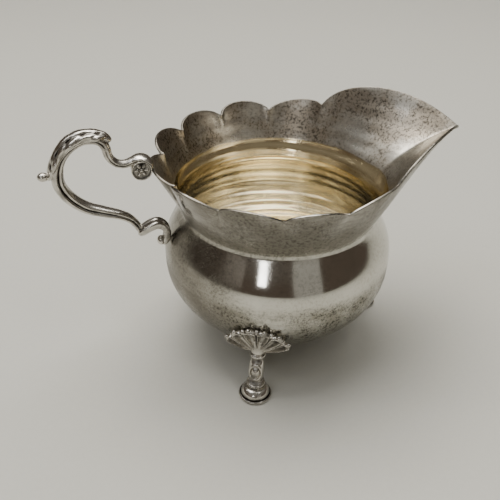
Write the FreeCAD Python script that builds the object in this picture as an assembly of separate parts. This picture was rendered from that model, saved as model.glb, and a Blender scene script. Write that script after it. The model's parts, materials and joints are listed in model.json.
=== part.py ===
import FreeCAD, Part
import math
import os

# Silver cream jug on three shell-headed legs, with a scalloped rim and a double-scroll handle.
# The jug stands on the plane z = 0. +X points to the pouring lip, -X to the handle and +Z up.
# The bowl, the handle castings and the three sets of leg castings are separate solids that meet
# face to face, where the silversmith soldered them.

V = FreeCAD.Vector

# ---- driving dimensions (mm, degrees) ----
belly_radius = 38.0          # widest part of the bowl
belly_height = 32.6          # height of the widest part above the table
bowl_depth_below = 26.7      # from the widest part down to the underside of the bowl
shoulder_radius = 32.4       # where the rounded shoulder turns into the neck
shoulder_height = 51.0
shoulder_slope = 28.0        # degrees from upright at that place
neck_radius = 32.1           # narrowest part under the flared rim
neck_height = 52.4
sheet = 0.8                  # thickness of the raised silver sheet
floor_radius = 5.0           # flat spot in the middle of the floor

notch_radius = 37.7          # the rim at the bottom of each notch
notch_height = 68.1
lip_notch_radius = 39.4      # the two notches where the pouring lip starts
lip_notch_height = 71.0
lobe_span = 28.325           # angle of each side lobe
side_lobes = 4               # lobes on each side between the lip and the handle lobe
handle_lobe_half = 16.3      # half the angle of the lobe over the handle
lip_half = 50.4              # half the angle of the pouring lip
lobe_rise = 3.9              # how far a lobe's control points stand above its notches
lobe_spread = 3.7            # and how far outside them
first_lobe_rise = 2.4        # the same for the flatter lobe beside the lip
first_lobe_spread = 2.4
last_lobe_extra = 1.6        # the lobes beside the handle lobe spread this much more
handle_lobe_rise = 2.5
handle_lobe_spread = 6.2
lip_reach = 62.0             # tip of the lip from the bowl's axis
lip_tip_height = 71.6

handle_reach = 73.5          # spur of the handle from the bowl's axis
foot_ring_radius = 36.9      # centres of the feet from the bowl's axis
leg_turn = 3.8               # the tripod is turned this far from the lip
pad_radius = 5.4
pad_top = 4.2                # height where the leg stands on its pad
leg_top = 16.6               # height where the leg's collar meets the shell
collar_radius = 2.6
collar_height = 1.4
shell_height = 13.0          # from the collar to the crest of the middle flutes
shell_side = 11.2            # and to the crests of the outer flutes
shell_flutes = 6
shell_fan_half = 68.0        # half the angle that the shell fans out
shell_thickness = 1.9
shell_lean = 0.287           # how far the shell leans out for each mm of height

bowl_x = (handle_reach - lip_reach) / 2.0   # the bowl's axis, so that the length is centred
leg_angles = {"spout": leg_turn, "left": 120.0 + leg_turn, "right": -120.0 + leg_turn}

neck_rise = 2.4              # straight collar above the neck before the flare
neck_swell = 0.9
flare_middle_radius = 36.7   # the row of poles half-way up the flare
flare_middle_height = 61.9
throat_reach = 42.5          # the bottom of the lip's channel, half-way out
throat_height = 66.8
throat_half_width = 13.0


# ---- bowl: patches between rows of four poles ----
def polar(radius, angle, height):
    a = math.radians(angle)
    return V(radius * math.cos(a), radius * math.sin(a), height)


def arc_row(radius, height, start, end):
    """Four poles of the curve that follows a circle from one angle to another."""
    span = math.radians(end - start)
    reach = 4.0 / 3.0 * math.tan(span / 4.0) * radius
    first, last = polar(radius, start, height), polar(radius, end, height)
    return [first, first + polar(reach, start + 90.0, 0.0), last - polar(reach, end + 90.0, 0.0), last]


def lobe_edge(start, end, first, last, rise, spread, lean):
    """Rim edge of one lobe between two (radius, height) notches. lean tips it towards its end."""
    span = end - start
    return [polar(first[0], start, first[1]),
            polar(first[0] + spread, start + span * (0.16 + lean), first[1] + rise),
            polar(last[0] + spread, end - span * (0.16 - lean * 0.7), last[1] + rise),
            polar(last[0], end, last[1])]


def lip_edge():
    """Rim edge of half the pouring lip, from its tip back to its notch."""
    return [V(lip_reach, 0.0, lip_tip_height), V(51.0, 17.0, 83.0), V(31.5, 29.5, 81.0),
            polar(lip_notch_radius, lip_half, lip_notch_height)]


def flare_rows(start, end, edge):
    """Rows from the neck to the edge. The middle row is round, so the notches fade below the rim."""
    neck = arc_row(neck_radius, neck_height, start, end)
    collar = arc_row(neck_radius + neck_swell, neck_height + neck_rise, start, end)
    middle = arc_row(flare_middle_radius, flare_middle_height, start, end)
    return [neck, collar, middle, edge]


def lip_rows():
    """Rows of half the pouring lip. Its channel is smooth across the jug's plane of symmetry."""
    rows = flare_rows(0.0, lip_half, lip_edge())
    middle = rows[2]
    middle[0] = V(throat_reach, 0, throat_height)
    middle[1] = V(throat_reach, throat_half_width, throat_height)
    middle[2] = V(throat_reach * 0.75, throat_half_width * 2.0, throat_height + 1.0)
    return rows


def inner_pole(pole, below, above):
    """The pole moved in by the sheet's thickness, square to the slope between two neighbours."""
    radius = math.hypot(pole.x, pole.y)
    out = V(pole.x / radius, pole.y / radius, 0.0)
    run = V(above.x - below.x, above.y - below.y, 0.0).dot(out)
    slope = math.atan2(run, above.z - below.z)
    return pole - (out * math.cos(slope) - V(0, 0, math.sin(slope))) * sheet


def inner_flare(rows, start, end):
    neck, collar, middle, edge = rows
    inside = [arc_row(neck_radius - sheet, neck_height, start, end),
              arc_row(neck_radius + neck_swell - sheet, neck_height + neck_rise, start, end)]
    inside.append([inner_pole(m, c, e) for c, m, e in zip(collar, middle, edge)])
    inside.append([inner_pole(e, m, e) for m, e in zip(middle, edge)])
    return inside


def patch(rows):
    surface = Part.BezierSurface()
    surface.increase(len(rows) - 1, len(rows[0]) - 1)
    for i, row in enumerate(rows, 1):
        for j, pole in enumerate(row, 1):
            surface.setPole(i, j, pole)
    return surface.toShape()


def curve_edge(row):
    curve = Part.BezierCurve()
    curve.setPoles(row)
    return curve.toShape()


def belly_profiles(inset):
    """(radius, height) poles of the three curves from the floor to the neck."""
    low = belly_height - bowl_depth_below + inset
    wide, neck = belly_radius - inset, neck_radius - inset
    round_off = 0.51 * (belly_height - low)
    slope = math.radians(shoulder_slope)
    turn_r = shoulder_radius - inset * math.cos(slope)
    turn_z = shoulder_height - inset * math.sin(slope)
    corner = turn_z + (turn_r - neck) / math.tan(slope)
    lower = [(floor_radius, low), (floor_radius + 0.52 * (wide - floor_radius), low),
             (wide, belly_height - round_off), (wide, belly_height)]
    shoulder = [(wide, belly_height), (wide, belly_height + 8.6),
                (turn_r + 11.8 * math.sin(slope), turn_z - 11.8 * math.cos(slope)), (turn_r, turn_z)]
    corner_out = turn_r + 0.6 * (neck - turn_r)
    fillet = [(turn_r, turn_z), (corner_out, turn_z + 0.6 * (corner - turn_z)),
              (neck, neck_height - 0.5 * (neck_height - corner)), (neck, neck_height)]
    return lower, shoulder, fillet


def mirrored(rows):
    return [[V(p.x, -p.y, p.z) for p in reversed(row)] for row in rows]


def sectors():
    """Every sector of the rim: start angle, end angle and the rows of its flare."""
    half = [(0.0, lip_half, lip_rows())]
    start = lip_half
    for number in range(side_lobes):
        end = start + lobe_span
        first = (lip_notch_radius, lip_notch_height) if number == 0 else (notch_radius, notch_height)
        rise, spread = (first_lobe_rise, first_lobe_spread) if number == 0 else (lobe_rise, lobe_spread)
        spread += last_lobe_extra if number == side_lobes - 1 else 0.0
        edge = lobe_edge(start, end, first, (notch_radius, notch_height), rise, spread, 0.08)
        half.append((start, end, flare_rows(start, end, edge)))
        start = end
    end = 360.0 - start
    notch = (notch_radius, notch_height)
    edge = lobe_edge(start, end, notch, notch, handle_lobe_rise, handle_lobe_spread, 0.0)
    middle = [(start, end, flare_rows(start, end, edge))]
    other = [(-b, -a, mirrored(rows)) for a, b, rows in reversed(half)]
    return half + middle + other


def bowl():
    faces, floor_edges, under_edges = [], [], []
    for start, end, rows in sectors():
        inside = inner_flare(rows, start, end)
        faces += [patch(rows), patch(inside), patch([rows[3], inside[3]])]
        for inset in (0.0, sheet):
            for profile in belly_profiles(inset):
                faces.append(patch([arc_row(r, z, start, end) for r, z in profile]))
        low = belly_height - bowl_depth_below
        under_edges.append(curve_edge(arc_row(floor_radius, low, start, end)))
        floor_edges.append(curve_edge(arc_row(floor_radius, low + sheet, start, end)))
    faces += [Part.Face(Part.Wire(under_edges)), Part.Face(Part.Wire(floor_edges))]
    shell = Part.makeShell(faces)
    shell.sewShape()
    solid = Part.makeSolid(shell)
    if solid.Volume < 0:
        solid.reverse()
    return solid


def envelope(grow):
    """Everything inside the bowl's lower outside surface, grown outwards."""
    curves = belly_profiles(-grow)
    low, (top_r, top) = curves[0][0][1], curves[-1][-1]
    edges = [curve_edge([V(r, 0, z) for r, z in curve]) for curve in curves]
    edges += [Part.makeLine(V(top_r, 0, top), V(0, 0, top)), Part.makeLine(V(0, 0, top), V(0, 0, low)),
              Part.makeLine(V(0, 0, low), V(floor_radius, 0, low))]
    return Part.Face(Part.Wire(edges)).revolve(V(0, 0, 0), V(0, 0, 1), 360)


# ---- castings ----
def ring_section(centre, across, along, half_across, half_along):
    """Closed smooth section about a centre, in the plane of two directions."""
    count = 12
    points = []
    for i in range(count):
        a = 2.0 * math.pi * i / count
        points.append(centre + across * (half_across * math.cos(a)) + along * (half_along * math.sin(a)))
    curve = Part.BSplineCurve()
    curve.interpolate(points, PeriodicFlag=True)
    return Part.Wire(curve.toShape())


def scroll(path):
    """Bar along (x, z, half thickness, half width) stations in the jug's plane of symmetry."""
    side = V(0, 1, 0)
    wires = []
    for i, (x, z, thick, wide) in enumerate(path):
        before, after = path[max(i - 1, 0)], path[min(i + 1, len(path) - 1)]
        run = V(after[0] - before[0], 0, after[1] - before[1]).normalize()
        wires.append(ring_section(V(x, 0, z), run.cross(side), side, thick, wide))
    return Part.makeLoft(wires, True, False)


main_path = ((-45.6, 47.1, 1.1, 1.3), (-46.6, 49.9, 1.2, 1.6), (-48.6, 52.6, 1.3, 1.9),
             (-51.4, 54.4, 1.35, 2.1), (-56.4, 56.4, 1.5, 2.4), (-61.4, 58.6, 1.75, 2.5),
             (-65.5, 62.5, 1.9, 2.6), (-67.8, 67.1, 1.9, 2.6), (-67.7, 71.7, 1.8, 2.5),
             (-66.0, 75.8, 1.6, 2.4), (-63.1, 78.8, 1.5, 2.3), (-59.6, 80.5, 1.5, 2.2),
             (-56.3, 80.4, 1.5, 2.0), (-54.2, 79.1, 1.5, 1.8), (-53.3, 77.1, 1.4, 1.6))
bend_path = ((-53.3, 77.1, 1.4, 1.6), (-53.0, 75.1, 1.35, 1.55), (-52.1, 73.3, 1.25, 1.5),
             (-50.5, 72.0, 1.2, 1.5), (-48.4, 71.6, 1.2, 1.5), (-46.4, 72.3, 1.2, 1.6),
             (-44.5, 73.0, 1.2, 1.8), (-42.6, 72.6, 1.1, 1.9), (-41.2, 71.4, 0.9, 1.9))
leaf_path = ((-70.4, 69.6, 0.9, 1.0), (-69.3, 70.9, 1.4, 1.9), (-68.7, 72.9, 1.5, 2.7),
             (-67.1, 76.1, 1.6, 3.1), (-64.3, 79.4, 1.8, 3.3), (-60.9, 81.3, 1.9, 3.2),
             (-57.2, 81.7, 1.8, 2.9), (-54.2, 81.0, 1.6, 2.3), (-52.4, 80.0, 1.1, 1.4))
curl_path = ((-45.9, 47.0, 1.2, 1.9), (-43.4, 48.7, 1.3, 2.2), (-40.9, 49.7, 1.35, 2.3),
             (-38.7, 49.1, 1.3, 2.3), (-37.4, 47.1, 1.2, 2.2), (-37.6, 44.8, 1.2, 2.0),
             (-38.0, 42.7, 1.2, 1.9))
spur_ball = (-71.9, 70.1, 1.6)       # x, z, radius
curl_ball = (-39.2, 42.7, 1.7)
rosette_place = (-43.9, 69.8)
rosette_radius = 3.1
rosette_half_width = 2.5
rosette_groove = 0.5


def handle_main_scroll():
    return scroll(main_path)


def handle_upper_bend(rosette):
    return scroll(bend_path).cut(rosette)


def handle_leaf_cap(main_scroll):
    x, z, radius = spur_ball
    cap = scroll(leaf_path).fuse(Part.makeSphere(radius, V(x, 0, z)))
    return cap.cut(main_scroll)


def handle_rosette():
    """Drum at the end of the upper scroll, with a ring cut in each face."""
    x, z = rosette_place
    drum = Part.makeCylinder(rosette_radius, 2 * rosette_half_width,
                             V(x, -rosette_half_width, z), V(0, 1, 0))
    for face in (-rosette_half_width - rosette_groove, rosette_half_width - rosette_groove):
        ring = Part.makeCylinder(rosette_radius * 0.75, 2 * rosette_groove, V(x, face, z), V(0, 1, 0))
        boss = Part.makeCylinder(rosette_radius * 0.3, 2 * rosette_groove, V(x, face, z), V(0, 1, 0))
        drum = drum.cut(ring.cut(boss))
    return drum


def handle_lower_curl(main_scroll):
    x, z, radius = curl_ball
    return scroll(curl_path).fuse(Part.makeSphere(radius, V(x, 0, z))).cut(main_scroll)


# ---- one leg, in the plane of its own azimuth, before it is turned into place ----
leg_path = ((36.8, 4.2, 2.5, 2.6), (36.3, 5.5, 2.7, 2.9), (36.0, 6.7, 2.3, 2.4), (36.0, 9.5, 2.5, 2.7),
            (35.5, 12.3, 2.3, 2.6), (34.8, 14.4, 1.9, 2.2), (34.4, 15.4, 1.8, 2.1))
boss_centre = (37.4, 10.2)           # from the bowl's axis, height
boss_size = (1.6, 2.0, 3.0)          # half sizes out, across and up
collar_place = 34.3                  # centre of the collar from the bowl's axis


def foot_pad():
    """Round stepped pad with a domed top."""
    middle = foot_ring_radius
    profile = [V(0, 0, 0), V(pad_radius - 0.5, 0, 0), V(pad_radius, 0, 0.5), V(pad_radius, 0, 1.0),
               V(pad_radius - 1.0, 0, 1.5)]
    dome = Part.Arc(V(pad_radius - 1.0, 0, 1.5), V(pad_radius - 1.7, 0, 3.2), V(2.7, 0, pad_top))
    edges = [Part.makeLine(a, b) for a, b in zip(profile, profile[1:])]
    edges += [dome.toShape(), Part.makeLine(V(2.7, 0, pad_top), V(0, 0, pad_top)),
              Part.makeLine(V(0, 0, pad_top), V(0, 0, 0))]
    pad = Part.Face(Part.Wire(edges)).revolve(V(0, 0, 0), V(0, 0, 1), 360)
    pad.translate(V(middle, 0, 0))
    return pad


def leg():
    """Knee with an oval boss on its front and a collar at its top."""
    wires = [ring_section(V(x, 0, z), V(1, 0, 0), V(0, 1, 0), out, across)
             for x, z, out, across in leg_path]
    body = Part.makeLoft(wires, True, False)
    boss = Part.makeSphere(1.0, V(0, 0, 0))
    stretch = FreeCAD.Matrix()
    stretch.scale(*boss_size)
    boss = boss.transformGeometry(stretch)
    boss.translate(V(boss_centre[0], 0, boss_centre[1]))
    collar = Part.makeCylinder(collar_radius, collar_height, V(collar_place, 0, leg_top - collar_height))
    collar = collar.makeFillet(collar_height * 0.4, [e for e in collar.Edges if e.Closed and
                                                     len(e.Vertexes) == 1 and e.Curve.TypeId ==
                                                     "Part::GeomCircle"])
    return body.fuse([boss, collar])


def shell_outline():
    """Scalloped fan in the upright plane across the leg, spread up from the collar."""
    step = 2.0 * shell_fan_half / shell_flutes

    def place(angle, depth):
        share = (angle / shell_fan_half) ** 2
        radius = shell_height + (shell_side - shell_height) * share - depth
        a = math.radians(angle)
        return V(0, radius * math.sin(a), leg_top + radius * math.cos(a))

    edges = []
    for i in range(shell_flutes):
        a = -shell_fan_half + i * step
        arc = Part.Arc(place(a, 1.2), place(a + step / 2.0, 0.0), place(a + step, 1.2))
        edges.append(arc.toShape())
    root = V(0, 0, leg_top - 1.0)
    for side in (shell_fan_half, -shell_fan_half):
        edges.append(Part.makeLine(place(side, 1.2), root))
    return Part.Face(Part.Wire(Part.__sortEdges__(edges)))


def shell_cone(inset):
    """Everything inside the shell's leaning face."""
    low = leg_top - 2.0
    height = shell_height + 6.0
    radius = collar_place + 0.9 - 2.0 * shell_lean - inset
    return Part.makeCone(radius, radius + shell_lean * height, height, V(0, 0, low))


def leg_shell(body):
    """Scallop shell that spreads the leg's load over the bowl, and the root above the collar."""
    fan = shell_outline().extrude(V(belly_radius + 10.0, 0, 0))
    plate = fan.common(shell_cone(0.0)).cut(shell_cone(shell_thickness))
    root = Part.makeCone(2.3, 3.6, 9.0, V(collar_place, 0, leg_top))
    below = Part.makeBox(100, 100, leg_top, V(-50, -50, 0))
    return plate.fuse(root).cut(below).cut(body)


# ---- assembly ----
def biggest_solid(shape):
    return max(shape.Solids, key=lambda s: s.Volume)


def write(name, shape):
    solid = biggest_solid(shape)
    solid.translate(V(bowl_x, 0, 0))
    solid.exportStep("parts/%s.step" % name)
    box = solid.BoundBox
    print("%-22s valid %s volume %9.2f x %.1f..%.1f y %.1f..%.1f z %.1f..%.1f" % (
        name, solid.isValid(), solid.Volume, box.XMin, box.XMax, box.YMin, box.YMax, box.ZMin, box.ZMax))


os.makedirs("parts", exist_ok=True)
jug = bowl()
write("bowl", jug)

rosette = handle_rosette()
main_scroll = handle_main_scroll()
write("handle_main_scroll", main_scroll)
write("handle_leaf_cap", handle_leaf_cap(main_scroll))
write("handle_upper_bend", handle_upper_bend(rosette).cut(jug))
write("handle_rosette", rosette.cut(jug))
write("handle_lower_curl", handle_lower_curl(main_scroll).cut(envelope(0.0)))

for place, angle in leg_angles.items():
    for name, shape in (("leg_shell", leg_shell(envelope(0.0))), ("leg", leg()), ("foot_pad", foot_pad())):
        shape.rotate(V(0, 0, 0), V(0, 0, 1), angle)
        write("%s_%s" % (name, place), shape)
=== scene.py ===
# %% [markdown]
# # A silver cream jug
# The jug is a bowl raised from one sheet of silver, gilt inside, with a cast handle and three cast
# legs soldered on. The frame gives the solids of the design. This script makes the finished skin of
# every piece around them, with the flutes, beads, furrows and worn polish that the solids leave out.

# %% Load the frame
import bmesh
import bpy
import json
import math
from mathutils import Matrix, Vector


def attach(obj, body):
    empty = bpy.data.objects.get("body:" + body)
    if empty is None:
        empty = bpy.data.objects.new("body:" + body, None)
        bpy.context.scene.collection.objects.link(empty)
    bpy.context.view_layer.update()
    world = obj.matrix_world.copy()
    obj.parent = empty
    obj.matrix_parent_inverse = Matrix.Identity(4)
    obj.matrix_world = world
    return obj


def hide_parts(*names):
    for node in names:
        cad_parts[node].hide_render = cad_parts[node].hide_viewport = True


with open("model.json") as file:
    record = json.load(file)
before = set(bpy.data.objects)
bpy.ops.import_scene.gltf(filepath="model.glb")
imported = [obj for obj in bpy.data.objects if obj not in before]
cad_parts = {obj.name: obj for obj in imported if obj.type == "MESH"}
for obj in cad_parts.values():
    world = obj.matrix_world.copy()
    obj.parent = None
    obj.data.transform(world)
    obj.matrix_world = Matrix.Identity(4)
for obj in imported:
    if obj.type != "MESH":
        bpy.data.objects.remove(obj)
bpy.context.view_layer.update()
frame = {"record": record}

MM = 0.001

# %% [markdown]
# ## Where things stand
# The three pad feet stand on a circle round the bowl's axis, so the middle of their mounts gives the
# axis, and their directions give the angles of the legs.

# %% The bowl's axis and the legs' angles
feet = {m["name"][len("foot_"):]: Vector(m["pos_m"]) for m in frame["record"]["mounts"]}
axis_x = sum(foot.x for foot in feet.values()) / len(feet)
axis = Vector((axis_x, 0.0, 0.0))
foot_radius = sum((foot - axis).length for foot in feet.values()) / len(feet)
leg_turns = {place: math.atan2(foot.y, foot.x - axis_x) for place, foot in feet.items()}
print("bowl axis at x = %.2f mm, feet on a radius of %.1f mm" % (axis_x / MM, foot_radius / MM))

# %% [markdown]
# ## Camera
# The jug is seen from above and a little to the handle's side, as by somebody who stands at the
# table. The camera has no shift and no depth of field. Its axes are built from three turns: round
# to the side, down towards the table, and a slight roll of the hand.

# %% Camera
camera_from_axis = Vector((-59.96, -170.08, 160.0)) * MM
pan, dip, roll = math.radians(16.53), math.radians(35.41), math.radians(1.50)
look = Vector((math.sin(pan) * math.cos(dip), math.cos(pan) * math.cos(dip), -math.sin(dip)))
level = Vector((math.cos(pan), -math.sin(pan), 0.0))
raised = level.cross(look)
camera_right = level * math.cos(roll) + raised * math.sin(roll)
camera_up = raised * math.cos(roll) - level * math.sin(roll)
camera_axes = Matrix((camera_right, camera_up, -look)).transposed().to_4x4()
camera_data = bpy.data.cameras.new("camera")
camera_data.sensor_width = 36.0
camera_data.lens = 45.84
camera = bpy.data.objects.new("camera", camera_data)
camera.matrix_world = Matrix.Translation(camera_from_axis + axis) @ camera_axes
bpy.context.scene.collection.objects.link(camera)
bpy.context.scene.camera = camera
print("camera %.0f mm from the bowl's axis at the table" % (camera_from_axis.length / MM))

# %% [markdown]
# ## Helpers for materials
# Colours are written as sRGB hex values, as a colour picker shows them, and turned to linear light.
# One function adds a node, sets its values and links its inputs.


# %% Colour and node helpers
def colour(hex_value, alpha=1.0):
    parts = [int(hex_value[i:i + 2], 16) / 255.0 for i in (1, 3, 5)]
    return tuple(c / 12.92 if c <= 0.04045 else ((c + 0.055) / 1.055) ** 2.4 for c in parts) + (alpha,)


def add(tree, kind, inputs=None, **settings):
    node = tree.nodes.new("ShaderNode" + kind)
    for name, value in settings.items():
        setattr(node, name, value)
    for name, value in (inputs or {}).items():
        if isinstance(value, bpy.types.NodeSocket):
            tree.links.new(value, node.inputs[name])
        else:
            node.inputs[name].default_value = value
    return node


def new_material(name):
    material = bpy.data.materials.new(name)
    material.use_nodes = True
    tree = material.node_tree
    return material, tree, tree.nodes["Principled BSDF"]


def per_metre(millimetres):
    """Scale of a texture whose features are this many millimetres apart."""
    return 1.0 / (millimetres * MM)


# %% [markdown]
# ## Sterling silver, raised and worn
# The bowl's outside was hammered up, planished and polished, and has been cleaned by hand for a
# century. Polish leaves a clear reflection, cleaning leaves hairlines that swirl, and the air leaves
# grey clouds and dark specks of tarnish where the cloth doesn't reach. The shoulder is rubbed most,
# so it stays bright. The side by the handle and the whole flare are rubbed least, and both are also
# turned towards an even darker grey.

# %% Colours of the worn metal
SILVER, TARNISH, SPECK, DARK_GREY = colour("#D8D6CE"), colour("#9B988C"), colour("#26231F"), colour("#77726A")
TARNISH_INSIDE, SPECK_INSIDE = colour("#A49B8D"), colour("#4F4A43")
GILT, GILT_WORN = colour("#E8D8B0"), colour("#EDE6D2")     # at the neck, and in the bowl
gild_line = 58.4 * MM                          # the gilding stops where the flare begins
clean_low, clean_high = 38.0 * MM, 50.0 * MM   # the shoulder, rubbed bright
cloud_size, speck_size, streak_size = 14.0, 0.9, 0.8       # mm from one patch of tarnish to the next
swirl_size, swirl_lines = 5.0, 22.0            # a cloth's swirl in mm, and the hairlines across it
dent_size, ring_size = 22.0, 14.0              # planishing marks and, inside, lathe rings
print("rubbed bright from %.0f to %.0f mm" % (clean_low / MM, clean_high / MM))
print("gilt up to %.1f mm" % (gild_line / MM))


# %% [markdown]
# ## Where the cloth reaches
# A map of the jug says how much dirt may stay at each place: little on the shoulder, all of it below
# and above. The hairlines are the contour lines of a smooth noise, because contours curl as a cloth
# does: the noise is multiplied up, folded back and forth, and only the folds are kept.

# %% Dirt map and hairlines
def dirt_map(tree, height, by_handle):
    fade = 4 * MM
    below = add(tree, "MapRange", {"Value": height, "From Min": clean_low,
                                   "From Max": clean_low - fade}).outputs["Result"]
    above = add(tree, "MapRange", {"Value": height, "From Min": clean_high,
                                   "From Max": clean_high + fade}).outputs["Result"]
    dirty = add(tree, "Math", {0: below, 1: above}, operation="MAXIMUM").outputs[0]
    dirty = add(tree, "Math", {0: dirty, 1: by_handle}, operation="MAXIMUM").outputs[0]
    return add(tree, "MapRange", {"Value": dirty, "To Min": 0.20, "To Max": 1.0}).outputs["Result"]


def swirled_hairlines(tree, place):
    curls = add(tree, "TexNoise", {"Vector": place, "Scale": per_metre(swirl_size), "Detail": 1.5,
                                   "Distortion": 1.2}).outputs["Fac"]
    stripes = add(tree, "Math", {0: curls, 1: swirl_lines}, operation="MULTIPLY").outputs[0]
    folded = add(tree, "Math", {0: stripes, 1: 0.5}, operation="PINGPONG").outputs[0]
    return add(tree, "MapRange", {"Value": folded, "From Min": 0.0, "From Max": 0.10,
                                  "To Min": 1.0, "To Max": 0.0}).outputs["Result"]


# %% [markdown]
# ## Tarnish and gilding
# Tarnish comes in clouds and in specks inside the clouds. The flare and the side by the handle are
# also turned towards an even darker grey, with fine level streaks. Gilding is a wash of gold over the
# same silver: it ends in a ragged edge at the neck, and spoons have rubbed it paler in the bowl.

# %% Tarnish
def tarnish(tree, place, height, by_handle, zone, dull_here, gilt):
    grain = add(tree, "TexNoise", {"Vector": place, "Scale": per_metre(speck_size), "Detail": 4.0,
                                   "Roughness": 0.8}).outputs["Fac"]
    speck = add(tree, "MapRange", {"Value": grain, "From Min": 0.49, "From Max": 0.60}).outputs["Result"]
    brushed = add(tree, "Mapping", {"Vector": place, "Scale": (0.12, 0.12, 1.0)}).outputs["Vector"]
    streaks = add(tree, "TexNoise", {"Vector": brushed, "Scale": per_metre(streak_size),
                                     "Detail": 3.0}).outputs["Fac"]
    speck_clouds = add(tree, "Math", {0: speck, 1: dull_here}, operation="MULTIPLY").outputs[0]
    cloud_colour, speck_colour = (TARNISH_INSIDE, SPECK_INSIDE) if gilt else (TARNISH, SPECK)
    clouded = add(tree, "Mix", {0: dull_here, 6: SILVER, 7: cloud_colour}, data_type="RGBA").outputs[2]
    specked = add(tree, "Mix", {0: speck_clouds, 6: clouded, 7: speck_colour}, data_type="RGBA").outputs[2]
    flare = add(tree, "MapRange", {"Value": height, "From Min": 51.0 * MM, "From Max": 54.0 * MM,
                                   "To Max": 0.0 if gilt else 0.55}).outputs["Result"]
    streaky = add(tree, "MapRange", {"Value": streaks, "From Min": 0.3, "From Max": 0.7,
                                     "To Min": -0.10, "To Max": 0.22}).outputs["Result"]
    # an even darker grey with level streaks, laid over the flare and the side by the handle
    grey_share = add(tree, "Math", {0: flare, 1: by_handle}, operation="MAXIMUM").outputs[0]
    grey_share = add(tree, "Math", {0: grey_share, 1: streaky}, operation="ADD", use_clamp=True).outputs[0]
    grey_here = add(tree, "Math", {0: grey_share, 1: zone}, operation="MULTIPLY").outputs[0]
    return add(tree, "Mix", {0: grey_here, 6: specked, 7: DARK_GREY}, data_type="RGBA").outputs[2]


# %% Gilding
def gilding(tree, place, height):
    """How much gold there is at each place, and its colour."""
    ragged = add(tree, "TexNoise", {"Vector": place, "Scale": per_metre(6.0), "Detail": 3.0}).outputs["Fac"]
    edge = add(tree, "Math", {0: ragged, 1: 1.2 * MM, 2: height}, operation="MULTIPLY_ADD").outputs[0]
    gold = add(tree, "MapRange", {"Value": edge, "From Min": gild_line + 0.9 * MM,
                                  "From Max": gild_line + 0.3 * MM}).outputs["Result"]
    rubbed = add(tree, "MapRange", {"Value": height, "From Min": 52.0 * MM,
                                    "From Max": 44.0 * MM}).outputs["Result"]
    return gold, add(tree, "Mix", {0: rubbed, 6: GILT, 7: GILT_WORN}, data_type="RGBA").outputs[2]


# %% [markdown]
# ## The two faces of the sheet
# One recipe makes the outside and the inside. Both have the shallow dents of the planishing hammer
# and the hairlines. The inside has the gilding too, and the rings that a tool left as the bowl
# turned on a lathe, which catch the light as bright streaks. Polished silver has a roughness near
# 0.06, and tarnish scatters the reflection, so the roughness rises to 0.36 where the metal is dull.

# %% Worn metal
def worn_metal(name, gilt):
    material, tree, shader = new_material(name)
    place = add(tree, "TexCoord").outputs["Object"]
    apart = add(tree, "SeparateXYZ", {"Vector": place})
    height = apart.outputs["Z"]
    clouds = add(tree, "TexNoise", {"Vector": place, "Scale": per_metre(cloud_size), "Detail": 5.0,
                                    "Roughness": 0.6}).outputs["Fac"]
    dull = add(tree, "MapRange", {"Value": clouds, "From Min": 0.30, "From Max": 0.56}).outputs["Result"]
    by_handle = add(tree, "MapRange", {"Value": apart.outputs["X"], "From Min": -14.0 * MM,
                                       "From Max": -26.0 * MM,
                                       "To Max": 0.0 if gilt else 0.8}).outputs["Result"]
    zone = dirt_map(tree, height, by_handle)
    dull_here = add(tree, "Math", {0: dull, 1: zone}, operation="MULTIPLY").outputs[0]
    metal_colour = tarnish(tree, place, height, by_handle, zone, dull_here, gilt)
    hairlines = swirled_hairlines(tree, place)
    scratched = add(tree, "Math", {0: hairlines, 1: zone}, operation="MULTIPLY").outputs[0]
    smooth = add(tree, "MapRange", {"Value": dull_here, "To Min": 0.26 if gilt else 0.06,
                                    "To Max": 0.36}).outputs["Result"]
    rough = add(tree, "Math", {0: scratched, 1: 0.12, 2: smooth}, operation="MULTIPLY_ADD").outputs[0]
    dents = add(tree, "TexNoise", {"Vector": place, "Scale": per_metre(dent_size),
                                   "Detail": 1.0}).outputs["Fac"]
    relief = add(tree, "Bump", {"Height": dents, "Strength": 0.35, "Distance": 0.6 * MM})
    if gilt:
        gold, gilt_colour = gilding(tree, place, height)
        metal_colour = add(tree, "Mix", {0: gold, 6: metal_colour, 7: gilt_colour},
                           data_type="RGBA").outputs[2]
        bright = add(tree, "MapRange", {"Value": dull, "To Min": 0.08, "To Max": 0.17}).outputs["Result"]
        rough = add(tree, "Mix", {0: gold, 2: rough, 3: bright}, data_type="FLOAT").outputs[0]
        rings = add(tree, "TexWave", {"Vector": place, "Scale": per_metre(ring_size), "Distortion": 1.5,
                                      "Detail": 2.0, "Detail Scale": 0.4}, wave_type="BANDS",
                    bands_direction="Z").outputs["Fac"]
        turned = add(tree, "MapRange", {"Value": gold, "To Min": 0.22, "To Max": 0.8}).outputs["Result"]
        relief = add(tree, "Bump", {"Height": rings, "Strength": turned, "Distance": 0.22 * MM,
                                    "Normal": relief.outputs["Normal"]})
    relief = add(tree, "Bump", {"Height": scratched, "Strength": 0.25, "Distance": 0.02 * MM,
                                "Normal": relief.outputs["Normal"]}, invert=True)
    tree.links.new(metal_colour, shader.inputs["Base Color"])
    tree.links.new(rough, shader.inputs["Roughness"])
    tree.links.new(relief.outputs["Normal"], shader.inputs["Normal"])
    shader.inputs["Metallic"].default_value = 1.0
    return material


silver_raised = worn_metal("sterling_silver_raised_worn", gilt=False)
silver_gilt_inside = worn_metal("silver_gilt_spun_inside", gilt=True)
print("materials:", silver_raised.name, silver_gilt_inside.name)
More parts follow.
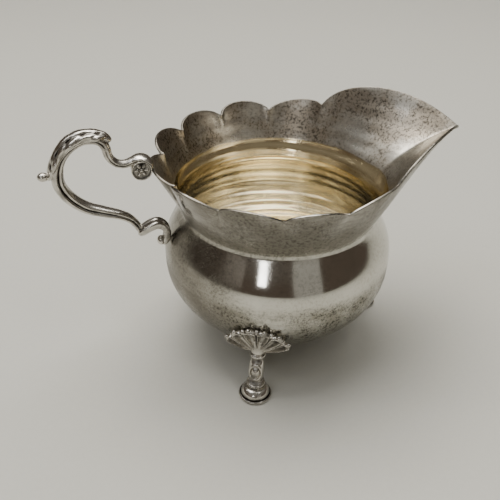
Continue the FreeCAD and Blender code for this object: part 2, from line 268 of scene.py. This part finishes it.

# %% [markdown]
# ## Sterling silver, cast and polished
# The handle and legs were cast in sand, chased and buffed. A buff reaches the high places only, so
# tarnish stays in the hollows. Each cast piece carries an attribute called hollow, worked out from its
# shape, and the material darkens towards near black where it is high: partly that tarnish, partly
# painted shade where the recesses would lie in shade. The skin of a sand casting stays faintly uneven
# after the buff, which breaks its highlights up.


# %% Cast silver
def cast_silver():
    material, tree, shader = new_material("sterling_silver_cast_polished")
    place = add(tree, "TexCoord").outputs["Object"]
    hollow = add(tree, "Attribute", attribute_name="hollow").outputs["Fac"]
    patches = add(tree, "TexNoise", {"Vector": place, "Scale": per_metre(3.0),
                                     "Detail": 4.0}).outputs["Fac"]
    uneven = add(tree, "MapRange", {"Value": patches, "From Min": 0.40, "From Max": 0.68,
                                    "To Min": -0.05, "To Max": 0.50}).outputs["Result"]
    skin_and_hollow_shade = add(tree, "Math", {0: hollow, 1: uneven}, operation="ADD", use_clamp=True).outputs[0]
    # near black where the hollow attribute is high: tarnish left by the buff, and painted shade in the
    # recesses
    tint = add(tree, "Mix", {0: skin_and_hollow_shade, 6: colour("#D3CFC7"), 7: colour("#1F1A16")},
               data_type="RGBA").outputs[2]
    rough = add(tree, "MapRange", {"Value": skin_and_hollow_shade, "To Min": 0.15, "To Max": 0.5}).outputs["Result"]
    sand = add(tree, "TexNoise", {"Vector": place, "Scale": per_metre(2.2), "Detail": 2.0}).outputs["Fac"]
    bump = add(tree, "Bump", {"Height": sand, "Strength": 0.35, "Distance": 0.15 * MM})
    tree.links.new(tint, shader.inputs["Base Color"])
    tree.links.new(rough, shader.inputs["Roughness"])
    tree.links.new(bump.outputs["Normal"], shader.inputs["Normal"])
    shader.inputs["Metallic"].default_value = 1.0
    return material


silver_cast = cast_silver()
print("material:", silver_cast.name)

# %% [markdown]
# ## Finishing a piece
# Every piece is drawn in millimetres about the bowl's axis, turned into place, scaled to metres and
# then joined to the frame's only body. Its modifiers are applied, so that the hollows can be
# measured on the finished surface: a vertex whose neighbours stand proud of it lies in a hollow.


# %% Piece helper
def apply_modifiers(made):
    bpy.context.view_layer.update()
    evaluated = made.evaluated_get(bpy.context.evaluated_depsgraph_get())
    shape = bpy.data.meshes.new_from_object(evaluated)
    made.modifiers.clear()
    made.data = shape
    return shape


def mark_hollows(mesh, depth, rounds=14):
    """Stores how far each vertex lies under a smoothed copy of the surface, as a share of depth."""
    bm = bmesh.new()
    bm.from_mesh(mesh)
    bm.normal_update()
    before = [(v.co.copy(), v.normal.copy()) for v in bm.verts]
    for _ in range(rounds):
        bmesh.ops.smooth_vert(bm, verts=bm.verts, factor=0.5,
                              use_axis_x=True, use_axis_y=True, use_axis_z=True)
    sunk = [(v.co - co).dot(normal) / MM for v, (co, normal) in zip(bm.verts, before)]
    usual = sorted(sunk)[len(sunk) // 2]
    bm.free()
    layer = mesh.attributes.new("hollow", "FLOAT", "POINT")
    layer.data.foreach_set("value", [min(max((deep - usual) / depth, 0.0), 1.0) for deep in sunk])


def piece(name, bm, nodes, materials, turn=0.0, modifiers=(), depth=None, inside_out=False):
    bmesh.ops.recalc_face_normals(bm, faces=bm.faces)
    if inside_out:
        bmesh.ops.reverse_faces(bm, faces=bm.faces)
    place = Matrix.Translation(axis) @ Matrix.Rotation(turn, 4, "Z") @ Matrix.Scale(MM, 4)
    bmesh.ops.transform(bm, matrix=place, verts=bm.verts)
    mesh = bpy.data.meshes.new(name)
    bm.to_mesh(mesh)
    bm.free()
    made = bpy.data.objects.new(name, mesh)
    bpy.context.scene.collection.objects.link(made)
    for material in materials:
        mesh.materials.append(material)
    for kind, settings in modifiers:
        modifier = made.modifiers.new(kind.lower(), kind)
        for key, value in settings.items():
            setattr(modifier, key, value)
    shape = apply_modifiers(made)
    shape.shade_smooth()
    # depth is how deep a hollow must lie to get the full dark of the cast silver: tarnish and painted shade
    if depth:
        mark_hollows(shape, depth)
    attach(made, "root")
    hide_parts(*nodes)
    print("%s: %d faces" % (name, len(shape.polygons)))


# %% [markdown]
# ## The bowl
# A raised bowl is a surface of revolution up to its neck. Its profile is drawn once and spun round
# the axis. Above the neck the rim opens into nine lobes and a pouring lip, so there each column of
# the spun sheet is moved onto a curved patch between four rows of poles: the neck, a short collar,
# the middle of the flare and the edge. A notch is a place where two patches meet at an angle.

# %% Sizes of the bowl
belly_radius, belly_height, under_height = 38.0, 32.6, 5.9
shoulder_radius, shoulder_height, shoulder_slope = 32.4, 51.0, math.radians(28.0)
neck_radius, neck_height = 32.1, 52.4
sheet = 0.8
flare_middle = (36.7, 61.9)
notch, lip_notch = (37.7, 68.1), (39.4, 71.0)        # radius and height of the rim's notches
lobe_turn, handle_lobe_turn, lip_turn = 28.325, 32.6, 50.4
lip_edge = (Vector((62.0, 0.0, 71.6)), Vector((51.0, 17.0, 83.0)), Vector((31.5, 29.5, 81.0)))
throat = Vector((42.5, 13.0, 66.8))                  # bottom of the lip's channel, half-way out


def bezier(poles, t):
    s = 1.0 - t
    return poles[0] * s ** 3 + poles[1] * 3 * s * s * t + poles[2] * 3 * s * t * t + poles[3] * t ** 3


def polar(radius, degrees, height):
    a = math.radians(degrees)
    return Vector((radius * math.cos(a), radius * math.sin(a), height))


def arc_row(radius, height, start, end):
    reach = 4.0 / 3.0 * math.tan(math.radians(end - start) / 4.0) * radius
    first, last = polar(radius, start, height), polar(radius, end, height)
    return [first, first + polar(reach, start + 90.0, 0.0), last - polar(reach, end + 90.0, 0.0), last]


# %% Rows of poles for every lobe
def lobe(start, end, first, last, rise, spread, lean):
    span = end - start
    return [polar(first[0], start, first[1]),
            polar(first[0] + spread, start + span * (0.16 + lean), first[1] + rise),
            polar(last[0] + spread, end - span * (0.16 - lean * 0.7), last[1] + rise),
            polar(last[0], end, last[1])]


def flare_rows(start, end, edge):
    collar = arc_row(neck_radius + 0.9, neck_height + 2.4, start, end)
    middle = arc_row(*flare_middle, start, end)      # round, so that the notches fade below the rim
    return [arc_row(neck_radius, neck_height, start, end), collar, middle, edge]


def rim_sectors():
    """(columns, rows) of every sector, from the middle of the lip round to it again."""
    lip = flare_rows(0.0, lip_turn, [*lip_edge, polar(lip_notch[0], lip_turn, lip_notch[1])])
    lip[2][0] = Vector((throat.x, 0.0, throat.z))
    lip[2][1] = throat.copy()
    lip[2][2] = Vector((throat.x * 0.75, throat.y * 2.0, throat.z + 1.0))
    half = [(36, lip)]
    start = lip_turn
    for number in range(4):
        end = start + lobe_turn
        first = lip_notch if number == 0 else notch
        rise, spread = ((2.4, 2.4), (3.9, 3.7), (3.9, 3.7), (3.9, 5.3))[number]
        edge = lobe(start, end, first, notch, rise, spread, 0.08)
        half.append((20, flare_rows(start, end, edge)))
        start = end
    end = start + handle_lobe_turn
    handle_lobe = [(24, flare_rows(start, end, lobe(start, end, notch, notch, 2.5, 6.2, 0.0)))]
    other = [(count, [[Vector((p.x, -p.y, p.z)) for p in reversed(row)] for row in rows])
             for count, rows in reversed(half)]
    return half + handle_lobe + other


columns = [(rows, step / count) for count, rows in rim_sectors() for step in range(count)]
print(len(columns), "columns round the rim")


# %% Spin the sheet and open the rim
def bowl_profile():
    """(radius, height) from the middle of the floor to the neck."""
    wide = Vector((belly_radius, belly_height))
    turn = Vector((shoulder_radius, shoulder_height))
    neck = Vector((neck_radius, neck_height))
    down_slope = Vector((math.sin(shoulder_slope), -math.cos(shoulder_slope)))
    depth = belly_height - under_height
    corner = turn - down_slope * (shoulder_radius - neck_radius) / math.sin(shoulder_slope)
    lower = [Vector((5.0, under_height)), Vector((5.0 + 0.52 * (belly_radius - 5.0), under_height)),
             wide - Vector((0.0, 0.51 * depth)), wide]
    shoulder = [wide, wide + Vector((0.0, 8.6)), turn + down_slope * 11.8, turn]
    fillet = [turn, turn.lerp(corner, 0.6), neck.lerp(corner, 0.5), neck]
    points = [Vector((0.0, under_height)), Vector((2.5, under_height))]
    for curve, steps in ((lower, 28), (shoulder, 22), (fillet, 5)):
        points += [bezier(curve, i / steps) for i in range(steps)]
    return points + [neck]


flare_rings = 26
flare_mark = 1000.0            # rings of the flare are marked by heights from here up


def raise_bowl():
    bm = bmesh.new()
    points = bowl_profile() + [Vector((neck_radius, flare_mark + i)) for i in range(1, flare_rings + 1)]
    chain = [bm.verts.new((p.x, 0.0, p.y)) for p in points]
    edges = [bm.edges.new(pair) for pair in zip(chain, chain[1:])]
    bmesh.ops.spin(bm, geom=chain + edges, cent=(0, 0, 0), axis=(0, 0, 1), angle=2 * math.pi,
                   steps=len(columns), use_merge=True)
    bmesh.ops.remove_doubles(bm, verts=bm.verts, dist=0.0001)
    for v in bm.verts:
        radius = math.hypot(v.co.x, v.co.y)
        azimuth = math.atan2(v.co.y, v.co.x) % (2 * math.pi)
        rows, along = columns[round(azimuth / (2 * math.pi) * len(columns)) % len(columns)]
        if v.co.z > flare_mark:
            climb = (v.co.z - flare_mark) / flare_rings
            v.co = bezier([bezier(row, along) for row in rows], climb)
        elif radius > 0.001:
            way = bezier(rows[0], along)
            v.co = Vector((way.x * radius / neck_radius, way.y * radius / neck_radius, v.co.z))
    return bm


bowl_modifiers = [
    ("SOLIDIFY", {"thickness": sheet * MM, "offset": -1.0, "use_even_offset": True,
                  "material_offset": 1, "material_offset_rim": 0}),
    ("BEVEL", {"width": 0.22 * MM, "segments": 3, "limit_method": "ANGLE",
               "angle_limit": math.radians(50)}),
]
piece("jug_bowl", raise_bowl(), ["bowl"], [silver_raised, silver_gilt_inside],
      modifiers=bowl_modifiers, inside_out=True)


# %% [markdown]
# ## Bars that bend
# A cast scroll is a bar whose section changes along a curve. A circle is drawn, given the section's
# outline, and extruded from station to station: each new ring is moved by the matrix that takes the
# last station to the next. The stations are few, and a spline through them gives the ones between.


# %% Bar helper
def between(stations, steps):
    """Catmull-Rom spline through the stations, with this many steps from one to the next."""
    rows = [Vector(s) for s in stations]
    rows = [rows[0] * 2 - rows[1]] + rows + [rows[-1] * 2 - rows[-2]]
    out = []
    for a, b, c, d in zip(rows, rows[1:], rows[2:], rows[3:]):
        for i in range(steps):
            t = i / steps
            out.append(0.5 * (2 * b + (c - a) * t + (2 * a - 5 * b + 4 * c - d) * t * t
                              + (3 * b - a - 3 * c + d) * t ** 3))
    return out + [rows[-2]]


def bar(stations, steps=5, sides=24, outline=None, bulge=None, upright=False):
    """Bar through (x, z, half thickness, half width). outline(angle) and bulge(share, angle) shape it."""
    bm = bmesh.new()
    rows = between(stations, steps)
    side = Vector((0.0, 1.0, 0.0))
    places = []
    for i, row in enumerate(rows):
        before, after = rows[max(i - 1, 0)], rows[min(i + 1, len(rows) - 1)]
        run = Vector((after.x - before.x, 0.0, after.y - before.y)).normalized()
        across = Vector((1.0, 0.0, 0.0)) if upright else run.cross(side)
        frame_axes = Matrix((across * row[2], side * row[3], run)).transposed().to_4x4()
        places.append(Matrix.Translation((row.x, 0.0, row.y)) @ frame_axes)
    ring = bmesh.ops.create_circle(bm, segments=sides, radius=1.0)["verts"]
    if outline:
        for v in ring:
            v.co *= outline(math.atan2(v.co.y, v.co.x))
    bmesh.ops.transform(bm, matrix=places[0], verts=ring)
    edges = list(bm.edges)
    rings = [list(ring)]
    for last, place in zip(places, places[1:]):
        grown = bmesh.ops.extrude_edge_only(bm, edges=edges)["geom"]
        verts = [g for g in grown if isinstance(g, bmesh.types.BMVert)]
        edges = [g for g in grown if isinstance(g, bmesh.types.BMEdge) and set(g.verts) <= set(verts)]
        bmesh.ops.transform(bm, matrix=place @ last.inverted(), verts=verts)
        rings.append(verts)
    if bulge:
        for i, (verts, place) in enumerate(zip(rings, places)):
            back = place.inverted()
            for v in verts:
                flat = back @ v.co
                flat *= bulge(i / (len(rings) - 1), math.atan2(flat.y, flat.x))
                v.co = place @ flat
    bmesh.ops.holes_fill(bm, edges=[e for e in bm.edges if e.is_boundary], sides=0)
    return bm


def bell(distance, width):
    return math.exp(-(distance / width) ** 2)


def angle_gap(a, b):
    return abs((a - b + math.pi) % (2 * math.pi) - math.pi)


def add_ball(bm, centre, size, segments=20):
    """A ball with half sizes in x, y and z, added to a piece."""
    place = Matrix.Translation(centre) @ Matrix.Diagonal((*size, 1.0))
    bmesh.ops.create_uvsphere(bm, u_segments=segments, v_segments=segments // 2 + 1, radius=1.0,
                              matrix=place)


def add_ring(bm, place, across, tall, thickness):
    """An oval ring: a small circle spun round an axis, then stretched and put in place."""
    before = set(bm.verts)
    tube = Matrix.Translation((1.0, 0.0, 0.0)) @ Matrix.Rotation(math.radians(90), 4, "X")
    circle = bmesh.ops.create_circle(bm, segments=12, radius=thickness / tall, matrix=tube)["verts"]
    edges = [e for e in bm.edges if e.verts[0] in circle]
    bmesh.ops.spin(bm, geom=circle + edges, cent=(0, 0, 0), axis=(0, 0, 1), angle=2 * math.pi,
                   steps=36, use_merge=True)
    ring = [v for v in bm.verts if v not in before]
    bmesh.ops.transform(bm, matrix=place @ Matrix.Diagonal((tall, across, tall, 1.0)), verts=ring)


# %% [markdown]
# ## The handle's main scroll
# The bar is rounded on its outside, and a groove runs along each flank, a little towards the inside
# of the curve. Polish wears the ridge beside the groove bright, and the groove is painted dark, partly
# as tarnish the polish leaves and partly as painted shade. One level of subdivision rounds the bar off.

# %% Main scroll
main_path = ((-45.6, 47.1, 0.5, 0.7), (-45.9, 48.3, 1.1, 1.3), (-46.8, 50.3, 1.2, 1.6),
             (-48.6, 52.6, 1.3, 1.9), (-51.4, 54.4, 1.35, 2.1), (-56.4, 56.4, 1.5, 2.4),
             (-61.4, 58.6, 1.75, 2.5),
             (-65.5, 62.5, 1.9, 2.6), (-67.8, 67.1, 1.9, 2.6), (-67.7, 71.7, 1.8, 2.5),
             (-66.0, 75.8, 1.6, 2.4), (-63.1, 78.8, 1.5, 2.3), (-59.6, 80.5, 1.5, 2.2),
             (-56.3, 80.4, 1.5, 2.0), (-54.2, 79.1, 1.5, 1.8), (-53.3, 77.1, 1.4, 1.6))


def grooved(angle):
    flank = min(angle_gap(angle, math.radians(105)), angle_gap(angle, math.radians(-105)))
    ridge = min(angle_gap(angle, math.radians(70)), angle_gap(angle, math.radians(-70)))
    return 1.0 - 0.30 * bell(flank, 0.22) + 0.05 * bell(ridge, 0.25)


smooth_once = [("SUBSURF", {"levels": 1, "render_levels": 1})]
piece("handle_scroll", bar(main_path, sides=32, outline=grooved), ["handle_main_scroll"], [silver_cast],
      modifiers=smooth_once, depth=0.16)

# %% [markdown]
# ## The leaf over the handle
# A leaf lies along the top of the scroll, from a knob at the back to a beak over the thin bend. Its
# midrib stands up between two furrows, its sides are scalloped where they grip the scroll, and a
# few slanting cuts by the chaser's tool show near the top.

# %% Leaf cap
leaf_path = ((-70.4, 69.6, 0.9, 1.0), (-69.3, 70.9, 1.4, 1.9), (-68.7, 72.9, 1.5, 2.7),
             (-67.1, 76.1, 1.6, 3.1), (-64.3, 79.4, 1.8, 3.3), (-60.9, 81.3, 1.9, 3.2),
             (-57.2, 81.7, 1.8, 2.9), (-54.2, 81.0, 1.6, 2.3), (-52.5, 80.0, 1.1, 1.4),
             (-52.0, 79.2, 0.5, 0.6))


def leaf_relief(share, angle):
    furrow = bell(angle_gap(abs(angle), 0.70), 0.22) * math.sin(math.pi * share) ** 0.5
    edge = bell(angle_gap(abs(angle), 1.75), 0.45) * math.sin(share * 9.0 * math.pi) * 0.12
    cuts = sum(bell(share - 0.30 - 0.12 * k + 0.07 * abs(angle), 0.020) for k in range(6))
    cut = cuts * bell(angle_gap(abs(angle), 0.95), 0.55)
    return 1.0 - 0.26 * furrow + edge - 0.20 * cut


leaf = bar(leaf_path, steps=9, sides=36, bulge=leaf_relief)
add_ball(leaf, (-71.9, 0.0, 70.1), (1.7, 1.45, 1.35))
add_ball(leaf, (-70.2, 0.0, 70.0), (0.95, 1.2, 1.1))
piece("handle_leaf", leaf, ["handle_leaf_cap"], [silver_cast],
      modifiers=smooth_once, depth=0.14)

# %% [markdown]
# ## The thin bend and its rosette
# Under the leaf's beak the handle thins to a bend that runs to the rim and rolls over a small drum.
# The drum's faces carry a flower: petals round a ball, inside a plain border.

# %% Upper bend and rosette
bend_path = ((-53.4, 77.6, 1.4, 1.6), (-53.0, 75.1, 1.35, 1.55), (-52.1, 73.3, 1.25, 1.5),
             (-50.5, 72.0, 1.2, 1.5), (-48.4, 71.6, 1.2, 1.5), (-46.4, 72.3, 1.2, 1.6),
             (-44.5, 73.0, 1.2, 2.2), (-42.6, 72.7, 1.1, 2.6), (-41.2, 71.6, 0.9, 2.6),
             (-40.7, 70.2, 0.6, 2.2))
piece("handle_bend", bar(bend_path, sides=28, outline=grooved), ["handle_upper_bend"], [silver_cast],
      modifiers=smooth_once, depth=0.16)

rosette_centre, rosette_radius, rosette_half = Vector((-43.9, 0.0, 69.8)), 3.1, 2.4
border, sunk = 0.35, 0.7                       # width of the border, and how deep the flower lies
petals, petal_out, petal_size = 6, 1.45, (0.85, 0.55, 0.5)


def rosette():
    bm = bmesh.new()
    lay = Matrix.Rotation(math.radians(90), 4, "X")
    bmesh.ops.create_cone(bm, cap_ends=True, segments=40, radius1=rosette_radius, radius2=rosette_radius,
                          depth=2 * rosette_half)
    caps = [f for f in bm.faces if len(f.verts) > 4]
    for width, sink in ((border, 0.0), (0.25, -sunk)):
        bmesh.ops.inset_region(bm, faces=caps, thickness=width, depth=sink)
    for half in (-1, 1):
        middle = half * (rosette_half - sunk)
        add_ball(bm, (0, 0, middle), (0.75, 0.75, 0.75), 12)
        for k in range(petals):
            a = math.radians(360.0 / petals * k)
            petal = Matrix.Translation((petal_out * math.cos(a), petal_out * math.sin(a), middle))
            petal = petal @ Matrix.Rotation(a, 4, "Z") @ Matrix.Diagonal((*petal_size, 1.0))
            bmesh.ops.create_uvsphere(bm, u_segments=12, v_segments=8, radius=1.0, matrix=petal)
    bmesh.ops.transform(bm, matrix=Matrix.Translation(rosette_centre) @ lay, verts=bm.verts)
    return bm


piece("handle_rosette_drum", rosette(), ["handle_rosette"], [silver_cast],
      modifiers=[("BEVEL", {"width": 0.12 * MM, "segments": 2, "limit_method": "ANGLE",
                            "angle_limit": math.radians(40)})], depth=0.55)

# %% [markdown]
# ## The lower curl
# The scroll ends in a sharp cusp, and from there a flat strap rises, turns over and runs down the
# side of the bowl to a small ball. A shallow channel runs along both faces of the strap.

# %% Lower curl
curl_path = ((-46.1, 46.4, 0.7, 1.2), (-45.4, 47.4, 1.2, 1.9), (-43.4, 48.7, 1.3, 2.2),
             (-40.9, 49.7, 1.35, 2.3), (-38.9, 49.2, 1.3, 2.3), (-37.5, 47.3, 1.2, 2.2),
             (-37.5, 44.9, 1.2, 2.0),
             (-38.1, 43.2, 1.1, 1.8), (-39.2, 42.4, 0.9, 1.5))


def strap(angle):
    square = 1.0 / (abs(math.cos(angle)) ** 4 + abs(math.sin(angle)) ** 4) ** 0.25
    channel = min(angle_gap(angle, 0.0), angle_gap(angle, math.pi))
    return square * (1.0 - 0.22 * bell(channel, 0.35))


curl = bar(curl_path, sides=32, outline=strap)
add_ball(curl, (-39.4, 0.0, 43.1), (1.45, 1.9, 1.45))
piece("handle_curl", curl, ["handle_lower_curl"], [silver_cast],
      modifiers=smooth_once, depth=0.16)

# %% [markdown]
# ## Legs
# Each leg is a round pad, a cuff, a knee with an oval boss, a collar and a scallop shell that spreads
# the load over the bowl. One leg is drawn at azimuth 0 and turned to three places. The shell starts
# as a flat grid that is laid over the bowl's curve. Each flute is a hollow between rounded rims, with
# a fine groove between one rim and the next, and a bead stands on every tip and notch of the edge.

# %% Scallop shell
collar_out, collar_top = 34.3, 16.6
shell_height, shell_side, flutes, fan = 13.0, 11.2, 6, math.radians(68.0)
shell_neck, shell_thickness, shell_lean = 1.6, 1.3, 0.287       # it leans out with the bowl
rim_rise, hollow_depth, groove_depth = 1.4, 0.7, 0.4
bead_on_tip, bead_in_notch = 0.80, 0.95        # radii


def shell_face(across, along):
    """Point of the shell's front, across from -1 to 1 and along from 0 at the collar to 1 at the edge."""
    angle = across * fan
    position = (across + 1.0) / 2.0 * flutes
    off_middle = abs(2.0 * (position - math.floor(position)) - 1.0) if 0.0 < position < flutes else 1.0
    reach = shell_height + (shell_side - shell_height) * across * across - 1.1 * off_middle ** 3
    radius = shell_neck + (reach - shell_neck) * along
    y, z = radius * math.sin(angle), radius * math.cos(angle)
    out = collar_out + 0.9 + shell_lean * z
    edge_gap = 2.2 * (1.0 - along)
    rim_near = max(off_middle, 1.0 - edge_gap) if along > 0.3 else off_middle
    rim = bell(rim_near - 0.80, 0.15)
    hollow = 1.0 - min(rim_near / 0.70, 1.0) ** 2
    groove = bell(off_middle - 1.0, 0.05)
    relief = (rim_rise * rim - hollow_depth * hollow - groove_depth * groove) * min(along * 1.6, 1.0)
    x = math.sqrt(max(out * out - y * y, 0.0))
    away = Vector((x, y, 0.0)).normalized()
    return Vector((x, y, collar_top + z)) + away * relief


def join(bm, other):
    """Adds another bmesh to this one."""
    mesh = bpy.data.meshes.new("other")
    other.to_mesh(mesh)
    other.free()
    bm.from_mesh(mesh)
    bpy.data.meshes.remove(mesh)


def scallop_shell():
    bm = bmesh.new()
    bmesh.ops.create_grid(bm, x_segments=flutes * 16, y_segments=30, size=1.0)
    for v in bm.verts:
        v.co = shell_face(v.co.x, (v.co.y + 1.0) / 2.0)
    bmesh.ops.recalc_face_normals(bm, faces=bm.faces)
    if sum(f.normal.x for f in bm.faces) < 0:
        bmesh.ops.reverse_faces(bm, faces=bm.faces)
    bmesh.ops.solidify(bm, geom=bm.faces[:], thickness=shell_thickness)
    for k in range(2 * flutes + 1):
        spot = shell_face(-1.0 + k / flutes, 0.98)
        size = bead_on_tip if k % 2 else bead_in_notch
        add_ball(bm, spot, (size, size, size), 12)
    root = ((collar_out, collar_top, 2.3, 2.3), (collar_out, collar_top + 3.0, 1.9, 2.9),
            (collar_out, collar_top + 6.5, 2.6, 4.0))
    join(bm, bar(root, sides=24, upright=True))
    return bm


# %% [markdown]
# ## Knee, cuff and pad
# The knee is a short bar with a polished oval boss on its front, inside an oval rim. Two more rings
# make the collar under the shell and the cuff over the pad. The pad is turned like a small candle
# stick: a thin base, a groove and a dome.

# %% Knee and pad
leg_path = ((36.7, 3.9, 2.4, 2.5), (36.4, 4.6, 2.6, 2.8), (36.2, 5.4, 2.5, 2.7), (36.0, 6.2, 1.9, 2.1),
            (36.0, 7.4, 2.0, 2.3), (35.8, 10.2, 2.0, 2.6), (35.4, 12.8, 1.9, 2.3), (34.7, 14.4, 1.6, 1.8),
            (34.4, 15.2, 2.0, 2.1), (34.3, 16.0, 2.3, 2.4), (34.3, 16.6, 1.8, 1.8))


boss_out, boss_height, boss_size = 37.0, 10.3, (1.9, 1.55, 2.2)
boss_rim_out, boss_tilt = 37.4, math.radians(83)                # the rim leans back with the knee
ring_thickness = 0.55


def knee():
    bm = bar(leg_path, steps=4, sides=32, upright=True)
    add_ball(bm, (boss_out, 0.0, boss_height), boss_size, 32)
    facing = Matrix.Translation((boss_rim_out, 0.0, boss_height)) @ Matrix.Rotation(boss_tilt, 4, "Y")
    add_ring(bm, facing, 1.95, 2.85, ring_thickness)
    collar, cuff = Matrix.Translation((34.3, 0.0, 15.8)), Matrix.Translation((36.3, 0.0, 5.0))
    add_ring(bm, collar, 2.15, 2.15, ring_thickness)
    add_ring(bm, cuff, 2.55, 2.55, ring_thickness)
    return bm


pad_profile = ((0.0, 0.0), (5.0, 0.0), (5.4, 0.35), (5.4, 0.9), (5.05, 1.2), (4.75, 1.2), (4.6, 1.45),
               (4.65, 1.9), (4.3, 2.9), (3.5, 3.8), (2.9, 4.1), (0.0, 4.2))


def pad():
    bm = bmesh.new()
    chain = [bm.verts.new((r, 0.0, z)) for r, z in pad_profile]
    edges = [bm.edges.new(pair) for pair in zip(chain, chain[1:])]
    bmesh.ops.spin(bm, geom=chain + edges, cent=(0, 0, 0), axis=(0, 0, 1), angle=2 * math.pi,
                   steps=48, use_merge=True)
    bmesh.ops.remove_doubles(bm, verts=bm.verts, dist=0.0001)
    bmesh.ops.translate(bm, vec=(foot_radius / MM, 0.0, 0.0), verts=bm.verts)
    return bm


# %% Three legs
# each depth sets how strongly the hollows of that piece are painted dark, as tarnish and painted shade
for place, turn_by in leg_turns.items():
    piece("shell_" + place, scallop_shell(), ["leg_shell_" + place], [silver_cast],
          turn=turn_by, modifiers=smooth_once, depth=0.30)
    piece("knee_" + place, knee(), ["leg_" + place], [silver_cast],
          turn=turn_by, modifiers=smooth_once, depth=0.11)
    piece("pad_" + place, pad(), ["foot_pad_" + place], [silver_cast],
          turn=turn_by, modifiers=smooth_once, depth=0.12)

# %% [markdown]
# ## Floor
# The jug stands on a sheet of pale grey card. It is matt, with fibres too fine to see as such, so
# they are drawn 1.5 mm apart and only a shade darker than the rest.

# %% Floor
floor_bm = bmesh.new()
bmesh.ops.create_grid(floor_bm, x_segments=1, y_segments=1, size=1.5)
floor_mesh = bpy.data.meshes.new("floor")
floor_bm.to_mesh(floor_mesh)
floor_bm.free()
floor = bpy.data.objects.new("floor", floor_mesh)
bpy.context.scene.collection.objects.link(floor)
floor_material, floor_tree, floor_shader = new_material("pale_grey_card")
floor_place = add(floor_tree, "TexCoord").outputs["Object"]
fibres = add(floor_tree, "TexNoise", {"Vector": floor_place, "Scale": per_metre(1.5),
                                      "Detail": 4.0}).outputs["Fac"]
floor_tint = add(floor_tree, "Mix", {0: fibres, 6: colour("#CBCAC2"), 7: colour("#D1D0C8")},
                 data_type="RGBA").outputs[2]
floor_tree.links.new(floor_tint, floor_shader.inputs["Base Color"])
floor_shader.inputs["Roughness"].default_value = 0.75
floor_mesh.materials.append(floor_material)
print("floor %.1f m across" % floor.dimensions.x)

# %% [markdown]
# ## Light
# Polished silver shows whatever is round it, so the light matters as much as the metal. Broad soft
# lamps overhead light the card and the gilding. Narrow strips give the bars their bright lines. One
# low lamp stands for a window in the belly's dark band, with two dim panels beside it. The room is
# bright above and darker round the walls, and it is those walls that make the band.

# %% Lamps
def soft_lamp(name, azimuth, elevation, distance, size, brightness, tint, spread=180.0):
    """Rectangle of light that faces the jug: angles in degrees, distance and size in metres.

    Brightness is its radiance, so a change of size doesn't change how bright its reflection looks.
    """
    around, over = math.radians(azimuth), math.radians(elevation)
    way = Vector((math.cos(over) * math.cos(around), math.cos(over) * math.sin(around), math.sin(over)))
    data = bpy.data.lights.new(name, "AREA")
    data.shape = "RECTANGLE"
    data.size, data.size_y = size
    data.energy = brightness * math.pi * size[0] * size[1]
    data.color = colour(tint)[:3]
    data.spread = math.radians(spread)
    lamp = bpy.data.objects.new(name, data)
    jug_middle = axis + Vector((0.0, 0.0, 40.0 * MM))
    facing = (-way).to_track_quat("-Z", "Y").to_matrix().to_4x4()
    lamp.matrix_world = Matrix.Translation(jug_middle + way * distance) @ facing
    bpy.context.scene.collection.objects.link(lamp)


soft_lamp("ceiling", 100, 74, 1.2, (1.0, 0.8), 2.3, "#FFFBF4", spread=100.0)
soft_lamp("ceiling_left", -165, 58, 1.2, (0.45, 0.45), 2.4, "#F8FAFF")
soft_lamp("strip_front", -60, 62, 1.4, (0.10, 0.60), 8.0, "#FFFDF8")
soft_lamp("strip_right", 35, 55, 1.4, (0.12, 0.50), 8.0, "#FFFDF8")
soft_lamp("strip_left", 165, 48, 1.4, (0.10, 0.50), 8.0, "#FFFDF8")
soft_lamp("window_left", -121, 17, 1.6, (0.20, 0.22), 9.0, "#FFFFFF")
soft_lamp("panel_left", -150, 14, 1.5, (0.55, 0.45), 0.14, "#EFE9E0")
soft_lamp("grey_panel", -78, 10, 0.9, (0.42, 0.46), 0.34, "#E9EAE2")

print(len(bpy.data.lights), "lamps")

# %% Room
world = bpy.data.worlds.new("studio")
bpy.context.scene.world = world
world.use_nodes = True
sky = world.node_tree
ray = add(sky, "TexCoord").outputs["Generated"]
upward = add(sky, "SeparateXYZ", {"Vector": ray}).outputs["Z"]
ceiling = add(sky, "MapRange", {"Value": upward, "From Min": 0.25, "From Max": 0.75}).outputs["Result"]
room = add(sky, "Mix", {0: ceiling, 6: colour("#554B42"), 7: colour("#8E8C86")},
           data_type="RGBA").outputs[2]
sky.links.new(room, sky.nodes["Background"].inputs["Color"])
sky.nodes["Background"].inputs["Strength"].default_value = 1.0
